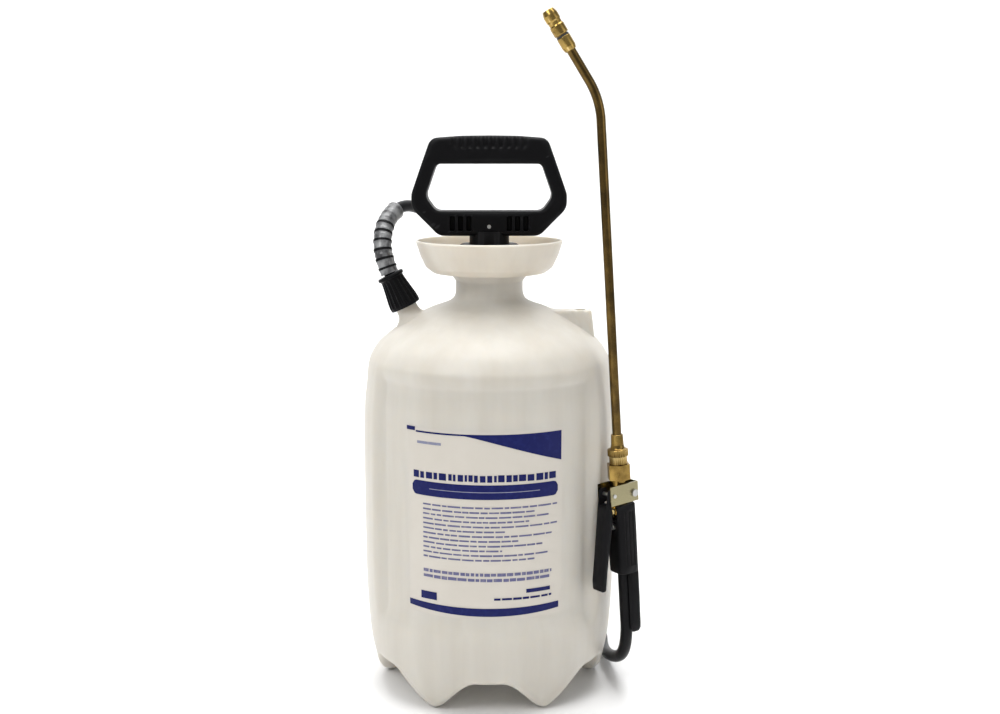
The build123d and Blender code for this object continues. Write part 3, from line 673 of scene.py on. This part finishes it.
def tank():
    """The blow-moulded tank as one closed shell: base, wall, shoulder, neck, funnel, bore and inside."""
    seam = [math.radians(a) for a in (-1.2, -0.75, -0.4, 0, 0.4, 0.75, 1.2)]
    angles = set(round(2 * math.pi * k / 540, 6) for k in range(540))
    for centre in (0, math.pi):
        angles = {a for a in angles if abs(math.remainder(a - centre, 2 * math.pi)) > math.radians(1.5)}
        angles |= {round((centre + s) % (2 * math.pi), 6) for s in seam}
    angles = np.array(sorted(angles))
    columns = len(angles)
    lift = foot_height(angles)
    corner = 7.0
    rows = []          # each is (radius per column, height per column)
    for k in range(1, 23):                       # underside, from near the axis out to the edge
        t = k / 22
        edge_r = wall_radius(angles, lift + corner) - corner
        r = edge_r * t
        sag = smooth_step((t - 0.38) / 0.62)
        z = BASE_Z + (lift - BASE_Z) * sag
        rows.append((r, z))
    for k in range(1, 7):                        # rounded lower edge
        a = math.pi / 2 * k / 6
        r = wall_radius(angles, lift + corner) - corner + corner * math.sin(a)
        rows.append((r, lift + corner - corner * math.cos(a)))
    top_of_base = 72.0
    for k in range(1, 23):                       # wall up to a level ring
        z = lift + corner + (top_of_base - lift - corner) * k / 22
        rows.append((wall_radius(angles, z), z))
    z = top_of_base
    while z < 307.3:                             # wall, groove and shoulder
        slope = abs(float(side_radius(z + 0.5) - side_radius(z)) / 0.5)
        fine = 1.6 if 228 < z < 266 else 3.0
        z += fine / math.sqrt(1 + slope ** 2)
        z = min(z, SHOULDER_TOP_Z)
        level = np.full(columns, z)
        rows.append((wall_radius(angles, level), level))
    funnel = softened([
        (31, SHOULDER_TOP_Z), (27.0, 310.5, 6), (26, 315, 4), (26, 323, 3), (30, 328.6, 3), (44, 329.8, 3),
        (49.7, 334, 5),
        (54, 343, 20), (57.5, 354.0, 1.5), (56.8, 355.0, 0.6), (55.2, 355.0, 0.6), (51, 343.5, 20), (46.8, 335.4, 5),
        (43, 333, 3), (31, SEAT_Z, 0.6), (NECK_BORE_R + 0.8, SEAT_Z, 0.5), (NECK_BORE_R, SEAT_Z - 0.8, 0.5),
        (NECK_BORE_R, 310.5),
    ], 1.0, 5, closed=False)
    dense = []
    for (r0, z0), (r1, z1) in zip(funnel, funnel[1:]):
        parts = max(1, int(math.hypot(r1 - r0, z1 - z0) / 2.5))
        for k in range(1, parts + 1):
            dense.append((r0 + (r1 - r0) * k / parts, z0 + (z1 - z0) * k / parts))
    outer_rows = len(rows)
    for r, z in dense:
        rows.append((np.full(columns, r), np.full(columns, z)))
    grid = np.zeros((len(rows), columns, 3))
    for i, (r, z) in enumerate(rows):
        grid[i] = np.stack([r * np.cos(angles), r * np.sin(angles), z], axis=1)
    shoulder_lug(grid[:outer_rows])
    # parting line: a fine raised bead in the plane of the flanks, over wall, shoulder, neck and funnel
    bead = np.exp(-(np.abs(np.array([math.remainder(a, math.pi) for a in angles])) / math.radians(0.42)) ** 2)
    radial = np.stack([np.cos(angles), np.sin(angles), np.zeros(columns)], axis=1)
    for i in range(24, outer_rows + 30):
        size = np.hypot(grid[i, :, 0], grid[i, :, 1])
        if size.mean() > 24.5:
            grid[i] += radial * (bead * 0.35 * np.minimum(1, 60 / size) ** 0.3)[:, None]
    # the inside follows the outside, one wall thickness in
    skin = grid[:outer_rows]
    along = np.gradient(skin, axis=0)
    around = np.roll(skin, -1, axis=1) - np.roll(skin, 1, axis=1)
    normal = np.cross(around, along)
    normal /= np.linalg.norm(normal, axis=2, keepdims=True) + 1e-9
    inner = skin - normal * WALL * np.sign((normal * radial[None]).sum(axis=2).mean())
    inner_rows = inner[::-1][3::2]
    keep = np.concatenate([grid, inner_rows])
    verts = keep.reshape(-1, 3).tolist()
    faces = ring_faces(len(keep), columns)
    verts.append([0, 0, BASE_Z])
    faces += [(len(verts) - 1, (j + 1) % columns, j) for j in range(columns)]
    verts.append([0, 0, BASE_Z + WALL])
    last = (len(keep) - 1) * columns
    faces += [(len(verts) - 1, last + j, last + (j + 1) % columns) for j in range(columns)]
    obj = raw("tank_shell", verts, faces)
    cut(obj, [outlet_stub()], "UNION")
    lug_hole = cylinder(LUG_HOLE_R, 290, 320, Matrix.Translation((LUG_HOLE_X, 0, 0)))
    cut(obj, [cylinder(4.3, -14, 40, OUTLET), lug_hole])
    to_metres(obj)
    return dress(obj, "tank", POLY, ["tank"], 50)


def shoulder_lug(grid):
    """Raises the moulded wand lug on the right shoulder: a flat pad with steep soft sides."""
    x, y, z = grid[:, :, 0], grid[:, :, 1], grid[:, :, 2]
    share = smooth_step((82.6 - x) / 2.4) * smooth_step((10.2 - np.abs(y)) / 2.6) * (z > 262) * (x > 0)
    rise = np.maximum(0, LUG_TOP_Z - z) * share
    grid[:, :, 2] += rise


def outlet_stub():
    """The threaded stub that the hose nut screws on, with a soft skirt where it leaves the shoulder."""
    outline = [(0.01, -6), (17, -6), (13.2, -0.6), (10.6, 1.6), (9.3, 3.4), (8.6, 6.0), (8.5, 9.0)]
    z = 9.0
    while z < 22:
        outline += [(8.5, z + 0.4), (7.9, z + 1.0), (7.9, z + 1.5), (8.5, z + 2.1)]
        z += 2.5
    outline += [(8.5, 23.4), (8.0, 24), (0.01, 24)]
    return turned(outline, 72, OUTLET)


tank()


# ---- label ----
LABEL_LOW, LABEL_HIGH = 79.0, 222.0
LABEL_LEFT, LABEL_RIGHT = -60.0, 55.0


def on_tank(x, z, proud):
    """The point of the tank's front wall at x and height z, and so far proud of it, in mm."""
    angle = -math.acos(max(-1, min(1, x / 93.2)))
    for _ in range(4):
        r = float(wall_radius(np.array([angle]), np.array([z]))[0]) + proud
        angle = -math.acos(max(-1, min(1, x / r)))
    return (r * math.cos(angle), r * math.sin(angle), z)


def patch(corner_rows, proud):
    """Quads over rows of (x, z) points, each row the same length, laid on the tank."""
    columns = len(corner_rows[0])
    verts = [on_tank(x, z, proud) for row in corner_rows for x, z in row]
    faces = []
    for i in range(len(corner_rows) - 1):
        for j in range(columns - 1):
            a = i * columns + j
            faces.append((a, a + 1, a + columns + 1, a + columns))
    return verts, faces


def bar(x0, x1, low, high, proud, step=3.0):
    """A strip from x0 to x1 whose lower and upper edges are functions of x."""
    count = max(2, int((x1 - x0) / step) + 1)
    xs = [x0 + (x1 - x0) * k / (count - 1) for k in range(count)]
    tall = max(high(x) - low(x) for x in xs)
    rows = max(2, int(tall / step) + 2)
    return patch([[(x, low(x) + (high(x) - low(x)) * i / (rows - 1)) for x in xs] for i in range(rows)], proud)


def printed(name, patches, material, thick=0.05):
    """Joins patches into one object and gives the ink a hair's thickness."""
    obj = raw(name, *joined(patches))
    work = bmesh.new()
    work.from_mesh(obj.data)
    for face in work.faces:
        if face.normal.y > 0:
            face.normal_flip()
    bmesh.ops.solidify(work, geom=work.faces[:], thickness=thick)
    work.to_mesh(obj.data)
    work.free()
    to_metres(obj)
    return dress(obj, "tank", material, (), 30)


def label():
    """A film with generic printing: a swept corner, bars and rows of broken lines, with no lettering."""
    film = raw("label_sheet", *bar(LABEL_LEFT, LABEL_RIGHT, lambda x: LABEL_LOW, lambda x: LABEL_HIGH, 0.02, 2.0))
    work = bmesh.new()
    work.from_mesh(film.data)
    bmesh.ops.solidify(work, geom=work.faces[:], thickness=0.10)
    work.to_mesh(film.data)
    work.free()
    to_metres(film)
    dress(film, "tank", FILM, ["label"], 30)
    top = 220.0

    def rounded_low(x0, x1, low, radius):
        return lambda x: low + radius - math.sqrt(max(0, radius ** 2 - max(0, radius - min(x - x0, x1 - x)) ** 2))

    def rounded_high(x0, x1, high, radius):
        return lambda x: high - radius + math.sqrt(max(0, radius ** 2 - max(0, radius - min(x - x0, x1 - x)) ** 2))

    def swept(x):
        """Lower edge of the corner sweep: it hugs the top line, then falls away to the right."""
        return 218.7 - 21.5 * max(0.0, (x + 18) / 73) ** 1.2

    solid = [
        bar(-54, 54, swept, lambda x: top, INK_PROUD, 2.0),
        bar(-61, -54.6, lambda x: 219.6, lambda x: 222.6, INK_PROUD),
        bar(-57, 51.5, rounded_low(-57, 51.5, 171.2, 3.5), rounded_high(-57, 51.5, 182.2, 3.5), INK_PROUD, 1.5),
        bar(-60, 52.5, lambda x: 81.2 + 2.6 * (x / 60) ** 2, lambda x: 87.4 + 1.0 * (x / 60) ** 2, INK_PROUD, 2.0),
    ]
    printed("label_print_solid", solid, INK)
    rng = np.random.default_rng(7)

    def broken_row(x0, x1, z, tall, dash, gap):
        """A row of short blocks of uneven length, standing for a line of print."""
        strips, x = [], x0
        while x < x1 - 1.0:
            end = min(x1, x + dash * rng.uniform(0.5, 1.5))
            low = z - tall / 2 * rng.uniform(0.8, 1.0)
            high = z + tall / 2 * rng.uniform(0.8, 1.0)
            strips.append(bar(x, end, lambda _, v=low: v, lambda _, v=high: v, INK_PROUD, 2.5))
            x = end + gap * rng.uniform(0.7, 1.4)
        return strips

    title = broken_row(-56, 51, 187.0, 5.6, 3.6, 1.2)
    printed("label_print_title", title, INK)
    fine = []
    ends = (51, 34, 46, 30, 51, 12, 47, 22, 40, 10, 44, 36)
    for number, right in enumerate(ends):
        fine += broken_row(-49, right, 164.8 - 3.65 * number, 1.4, 6.5, 0.9)
    fine += broken_row(-49, 47, 113.6, 2.6, 4.4, 0.8)
    fine += broken_row(-49, 47, 109.4, 2.6, 5.0, 0.8)
    printed("label_print_rows", fine, PALE_INK)
    marks = [bar(-51, -39, lambda x: 91.0, lambda x: 97.0, INK_PROUD),
             bar(28, 46, lambda x: 98.4, lambda x: 101.4, INK_PROUD)]
    marks += broken_row(4, 47, 94.6, 1.8, 5.0, 0.9)
    printed("label_print_marks", marks, INK)
    dash = [bar(-53, -35, lambda x: 210.4, lambda x: 212.4, INK_PROUD)]
    printed("label_print_dash", dash, GREY_INK)
    white = [bar(-44, 38, lambda x: 176.4, lambda x: 177.0, 0.29, 3.0)]
    printed("label_print_rule", white, GREY_INK, 0.03)


label()


# ---- outlet nut ----
def hose_nut():
    ribs = 18

    def ribbed(angle, z, r):
        if r < 8.95 or z > 34.6 or z < 11.5:
            return 1.0
        groove = max(0.0, math.cos(ribs * angle)) ** 0.8
        fade = min(1.0, (z - 11.5) / 2.0) * min(1.0, (34.6 - z) / 2.0)
        return 1.0 - 0.085 * (1 - groove) * fade

    outline = [
        (8.8, 10, 0.3), (12.0, 10, 0.8), (12.4, 13, 1.0), (12.0, 17, 3), (11.3, 21, 5), (10.6, 25, 5), (9.9, 29, 5),
        (9.4, 33, 3), (9.3, 34.8, 0.5), (10.6, 35.6, 0.5), (10.6, 37.4, 0.6), (9.8, 38, 0.4), (5.0, 38, 0.5),
        (5.0, 28.3, 0.2), (8.8, 28.3, 0.2),
    ]
    lathe("hose_nut_body", outline, "tank", "black_plastic", BLACK, ["hose_nut"], OUTLET, 0.4, 216, ribbed, 50)


hose_nut()


# ---- pump handle ----
def star_radius(outline, centre, angles):
    """Distance from a centre to a closed outline along each angle."""
    pts = np.array(outline) - np.array(centre)
    nxt = np.roll(pts, -1, axis=0)
    result = np.zeros(len(angles))
    for k, a in enumerate(angles):
        d = np.array([math.cos(a), math.sin(a)])
        e = nxt - pts
        cross = d[0] * e[:, 1] - d[1] * e[:, 0]
        with np.errstate(divide="ignore", invalid="ignore"):
            t = (pts[:, 0] * e[:, 1] - pts[:, 1] * e[:, 0]) / cross
            u = (pts[:, 0] * d[1] - pts[:, 1] * d[0]) / cross
        ok = (np.abs(cross) > 1e-9) & (t > 0) & (u >= -1e-6) & (u <= 1 + 1e-6)
        result[k] = t[ok].min()
    return result


def round_section(half_u, half_v, radius, arc=5, side=9):
    """Points evenly spread round a rounded rectangle."""
    points = []
    for corner, (su, sv) in enumerate(((1, 1), (-1, 1), (-1, -1), (1, -1))):
        cu, cv = su * (half_u - radius), sv * (half_v - radius)
        for k in range(arc + 1):
            a = math.pi / 2 * (corner + k / arc)
            points.append((cu + radius * math.cos(a), cv + radius * math.sin(a)))
        nu, nv = ((-1, 1), (-1, -1), (1, -1), (1, 1))[corner]
        after = math.pi / 2 * (corner + 1)
        end = (nu * (half_u - radius) + radius * math.cos(after), nv * (half_v - radius) + radius * math.sin(after))
        start = points[-1]
        for k in range(1, side):
            t = k / side
            points.append((start[0] * (1 - t) + end[0] * t, start[1] * (1 - t) + end[1] * t))
    return points


def pump_handle():
    """The D-shaped handle: a rounded bar round a loop, ribbed on top, cored below, with its hub and lugs."""
    centre = (0.0, 397.0)
    outer = softened([
        (-45, 433.5, 9), (-60, 391, 14), (-60, 380, 12), (-39, 358.6, 11), (39, 358.6, 11), (60, 380, 12),
        (60, 391, 14), (45, 433.5, 9), (22, 435.2, 60), (0, 435.5, 60), (-22, 435.2, 60),
    ], 8, 10)
    inner = softened([
        (-40.5, 413.8, 5), (-49.2, 389, 9), (-41, 378, 8), (41, 378, 8), (49.2, 389, 9), (40.5, 413.8, 5),
    ], 5, 8)
    stations = 1080
    angles = np.linspace(0, 2 * math.pi, stations, endpoint=False)
    far, near = star_radius(outer, centre, angles), star_radius(inner, centre, angles)
    verts = []
    for a, rf, rn in zip(angles, far, near):
        mid, half = (rf + rn) / 2, (rf - rn) / 2
        edge = min(4.2, 0.45 * half)
        for u, y in round_section(half, HANDLE_HALF, edge):
            d = mid + u
            z, x = centre[1] + d * math.sin(a), d * math.cos(a)
            if math.sin(a) > 0.25 and abs(x) < 31:
                notch = 0.5 - 0.5 * math.cos(2 * math.pi * x / 6.0)
                fade = (smooth_step((30.5 - abs(x)) / 1.5) * smooth_step((z - 425.5) / 1.5)
                        * smooth_step((abs(y) - 6) / 4))
                y -= math.copysign(1.6 * notch * fade, y)
            verts.append((x, y, z))
    ring = len(verts) // stations
    obj = raw("pump_handle_loop", verts, ring_faces(stations, ring, True))
    slots = []
    for side in (-1, 1):
        for x in (-28.4, -22.0, -15.6, 15.6, 22.0, 28.4):
            y0, y1 = sorted((side * 7.5, side * 16))
            slots.append(rounded_box((x - 2.1, y0, 362.6), (x + 2.1, y1, 374.2), 1.2))
    cut(obj, [joined(slots)])
    hub = turned([(0.01, 346.4), (14.7, 346.4), (15.5, 347.2), (15.5, 362), (0.01, 362)], 72)
    lugs = rounded_box((-4, -19, 346.9), (4, 19, 349.1), 0.5)
    cut(obj, [hub, lugs], "UNION")
    across = Matrix.Translation((0, 0, 366)) @ Matrix.Rotation(math.pi / 2, 4, "X")
    cut(obj, [cylinder(5.0, 340, 372), cylinder(1.5, -20, 20, across)])
    to_metres(obj)
    return dress(obj, "plunger", BLACK, ["pump_handle"], 42)


pump_handle()


# ---- grip and lever ----
def section(x0, x1, half, radius, z, steps=6):
    """A rounded rectangle of the valve's frame at height z."""
    return [(x, y, z) for x, y in softened([(x0, -half), (x1, -half), (x1, half), (x0, half)], radius, steps)]


def loft(sections):
    """Joins sections of equal count and caps both ends."""
    count = len(sections[0])
    verts = [p for s in sections for p in s]
    return verts, capped(len(sections), count)


def grip():
    """The moulded grip: a rounded handle whose back runs on down as a channel round the hose."""
    front = [section(-8.0, 9.0, 8.6, 6, -51.0), section(-8.6, 9.5, 9.2, 6, -51.8)]
    for k in range(1, 12):
        t = k / 12
        half = 9.15 + 0.25 * math.sin(math.pi * t)
        front.append(section(-8.8, 9.6, half, 6, -51.8 - 53.0 * t))
    front += [section(-8.6, 9.5, 9.2, 6, -104.9), section(-8.0, 9.2, 8.7, 6, -105.6)]
    obj = raw("grip_body", *loft(front[::-1]))
    spine = [section(-1.0, 9.5, 8.1, 3.6, -100.0)]
    for z in (-110, -125, -140, -148):
        spine.append(section(-1.2, 9.6 - 0.25 * (z < -139), 8.2, 3.6, z))
    spine += [section(-0.9, 9.2, 7.9, 3.4, -152.0), section(0.2, 8.2, 6.9, 3.0, -154.3),
              section(1.6, 6.8, 5.4, 2.2, -155.0)]
    cut(obj, [loft(spine)], "UNION")
    tools = [
        turned([(6.1, -170), (6.1, -40)], 64),
        rounded_box((-14, -6.1, -170), (0, 6.1, -105.7), 0.4),
        rounded_box((-12, -5.2, STEM_Z - 6), (-4, 5.2, STEM_Z + 9), 0.6),
        cylinder(3.4, -12, -3, Matrix.Translation((0, 0, -68)) @ Matrix.Rotation(math.pi / 2, 4, "Y")),
    ]
    cut(obj, tools)
    # shallow finger flutes along both sides
    flutes = []
    for y_side in (-1, 1):
        for x in (-3.6, 0.0, 3.6):
            place = Matrix.Translation((x, y_side * 10.15, -78))
            flutes.append(rounded_rod(1.15, -21, 21, place))
    cut(obj, [joined(flutes)])
    to_metres(obj, VALVE)
    return dress(obj, "handset", GRIP_BLACK, ["grip"], 40)


def rounded_rod(radius, low, high, place=FLAT, columns=20):
    """A rod with round ends on the place's own Z."""
    quarter = [math.pi / 2 * k / 5 for k in range(6)]
    outline = [(radius * math.sin(a) + 0.001, low - radius * math.cos(a)) for a in quarter]
    outline += [(r, high + low - z) for r, z in outline[::-1]]
    return turned(outline, columns, place)


def ring_points(outline, columns):
    """Points of an outline of (radius, height) turned about Z."""
    turns = [2 * math.pi * j / columns for j in range(columns)]
    return [(r * math.cos(a), r * math.sin(a), z) for r, z in outline for a in turns]


def lever():
    """The squeeze lever: a bar with rounded edges, curled at its foot, on two ears round the pin."""
    outline = softened([
        (-8.5, -38, 3), (-15.5, -37, 3), (-18.4, -52, 9), (-24.3, -90, 40), (-27.3, -108, 18), (-27.2, -115.6, 2.2),
        (-22.8, -115.6, 2.2), (-20.4, -100, 26), (-12.7, -62, 6), (-12.7, -50, 2), (-8.5, -45.5, 1.6),
    ], 2, 8)
    half, soft = 6.5, 1.5
    levels = [(-half, soft), (-half + 0.35 * soft, 0.42 * soft), (-half + soft, 0), (half - soft, 0),
              (half - 0.35 * soft, 0.42 * soft), (half, soft)]
    pts = np.array(outline)
    following = np.roll(pts, -1, axis=0) - np.roll(pts, 1, axis=0)
    inward = np.stack([-following[:, 1], following[:, 0]], axis=1)
    inward /= np.linalg.norm(inward, axis=1, keepdims=True) + 1e-9
    if ((pts.mean(axis=0) - pts) * inward).sum() < 0:
        inward = -inward
    verts = []
    for y, inset in levels:
        for (x, z), (nx, nz) in zip(pts, inward):
            verts.append((x + nx * inset, y, z + nz * inset))
    count = len(outline)
    faces = capped(len(levels), count)
    obj = raw("lever_bar", verts, faces)
    hole = cylinder(1.55, -20, 20, Matrix.Translation(LEVER_PIN) @ Matrix.Rotation(math.pi / 2, 4, "X"))
    into = Matrix.Translation((0, 0, STEM_Z)) @ Matrix.Rotation(math.pi / 2, 4, "Y")
    pocket = [tuple(into @ Vector(p)) for p in ring_points([(1.5, -14.6), (4.9, -14.6), (4.9, -11), (1.5, -11)], 40)]
    fork = rounded_box((-24, -4.5, -49.5), (-4, 4.5, -30), 0.8)
    cut(obj, [hole, (pocket, ring_faces(4, 40, True)), fork])
    to_metres(obj, VALVE)
    return dress(obj, "lever", GRIP_BLACK, ["lever"], 40)


grip()
lever()


# ---- wand and nozzle ----
def wand_tube():
    turn = math.radians(BEND_ANGLE)
    back = BEND_R * math.tan(turn / 2)
    path = [(0, 0, -22.0 + (BEND_Z - back + 22.0) * k / 40) for k in range(41)]
    for k in range(1, 25):
        a = turn * k / 24
        path.append((-BEND_R * (1 - math.cos(a)), 0, BEND_Z - back + BEND_R * math.sin(a)))
    start = Vector(path[-1])
    direction = Vector((-math.sin(turn), 0, math.cos(turn)))
    run = UPPER_RUN - back
    path += [tuple(start + direction * run * k / 8) for k in range(1, 9)]
    verts, faces = tube_mesh(path, [3.5] * len(path), 40, [2.7] * len(path))
    piece("wand_tube_bent", verts, faces, "wand", "brass", TUBE_BRASS, ["wand_tube"], 40, WAND)


def wand_fittings():
    nut = [(3.55, 3, 0.4), (4.6, 3, 0.5), (4.9, -5, 1.0), (5.6, -7.6, 1.2), (8.0, -8.6, 0.6), (8.0, -13.7, 0.5),
           (3.55, -13.7, 0.2)]
    lathe("wand_union_nut", nut, "wand", "brass", BRASS, ["wand_nut"], WAND, 0.4, 192,
          knurled(8.0, -13.2, -9.0, 36), 35)
    stem = [(3.55, -9, 0.3), (4.4, -9, 0.5), (5.2, -6, 0.5), (5.2, 2, 0.4), (4.2, 2, 0.2), (4.2, 16, 0.3),
            (1.2, 16, 0.2), (1.2, 0, 0.2), (3.55, 0, 0.2)]
    lathe("nozzle_stem_body", stem, "wand", "brass", BRASS, ["nozzle_stem"], TIP, 0.4, 96, None, 35)
    cap = [(4.25, 4, 0.2), (5.6, 4, 0.5), (5.6, 11, 0.4), (5.0, 12, 0.4), (5.0, 14.5, 0.4), (5.6, 15.5, 0.4),
           (5.6, 20, 1.0), (4.4, 24, 0.8), (1.4, 24, 0.4), (0.8, 19, 0.2), (4.25, 18, 0.2)]
    lathe("nozzle_cap_body", cap, "nozzle", "brass", BRASS, ["nozzle_cap"], TIP, 0.4, 240,
          knurled(5.6, 4.6, 10.6, 40), 35)


def knurled(radius, low, high, teeth):
    """Fine straight knurling on the full radius between two heights."""
    def shape(angle, z, r):
        if not low <= z <= high or r < radius - 0.05:
            return 1.0
        return 1.0 - 0.035 * (0.5 - 0.5 * math.cos(teeth * angle))
    return shape


wand_tube()
wand_fittings()


# ---- CAD nodes that show as they are ----
def finish_nodes():
    finishes = {
        BRASS: ["valve_body", "packing_nut", "hose_barb", "valve_stem"],
        PLATED: ["valve_yoke"],
        STEEL: ["pump_rod", "handle_pin", "piston_nut", "grip_screw", "lever_pin", "hose_ferrule", "lever_spring"],
        GREY_PLASTIC: ["pump_barrel", "rod_bushing", "piston_washer", "hose_tail", "dip_tube", "dip_tube_strainer"],
        RUBBER: ["barrel_gasket", "outlet_gasket", "check_valve", "piston_cup", "stem_oring", "wand_oring",
                 "nozzle_oring"],
        BLACK: ["pump_cap"],
    }
    for material, names in finishes.items():
        for name in names:
            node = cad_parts[name]
            node.data.materials.clear()
            node.data.materials.append(material)
            if name in ("valve_body", "valve_yoke", "pump_cap", "packing_nut", "grip_screw"):
                bevel = node.modifiers.new("soft edges", "BEVEL")
                bevel.width, bevel.segments, bevel.limit_method = 0.0004, 3, "ANGLE"
                bevel.angle_limit = math.radians(35)


finish_nodes()


# ---- floor and light ----
def stage():
    floor = bpy.data.meshes.new("floor")
    size, back, rise = 3.0, 1.2, 2.5
    rows = [(-size, 0.0)] + [(back - 0.5, 0.0)]
    for k in range(1, 13):
        a = math.pi / 2 * k / 12
        rows.append((back - 0.5 + 0.5 * math.sin(a), 0.5 - 0.5 * math.cos(a)))
    rows.append((back, rise))
    verts = [(x, y, z) for y, z in rows for x in (-size, size)]
    faces = [(2 * i, 2 * i + 1, 2 * i + 3, 2 * i + 2) for i in range(len(rows) - 1)]
    floor.from_pydata(verts, [], faces)
    floor.shade_smooth()
    floor.materials.append(FLOOR_PAINT)
    sweep = bpy.data.objects.new("floor", floor)
    bpy.context.collection.objects.link(sweep)


def area_light(name, place, aim, size, power):
    lamp = bpy.data.lights.new(name, "AREA")
    lamp.shape, lamp.size, lamp.energy = "SQUARE", size, power
    obj = bpy.data.objects.new(name, lamp)
    obj.location = place
    obj.rotation_euler = (Vector(aim) - Vector(place)).to_track_quat("-Z", "Y").to_euler()
    bpy.context.collection.objects.link(obj)


def lights():
    area_light("key", (-1.1, -1.3, 1.7), (0, 0, 0.25), 0.9, 20)
    area_light("fill", (1.6, -0.9, 0.9), (0, 0, 0.25), 1.2, 5)
    area_light("top", (0.0, 0.3, 2.2), (0, 0.1, 0.2), 1.4, 13)
    area_light("backdrop", (0.0, 0.25, 2.3), (0, 1.0, 0.5), 1.8, 44)
    world = bpy.data.worlds.new("studio")
    world.use_nodes = True
    world.node_tree.nodes["Background"].inputs["Color"].default_value = (1, 1, 1, 1)
    world.node_tree.nodes["Background"].inputs["Strength"].default_value = 0.34
    bpy.context.scene.world = world
    bpy.context.scene.view_settings.view_transform = "Standard"


stage()
lights()
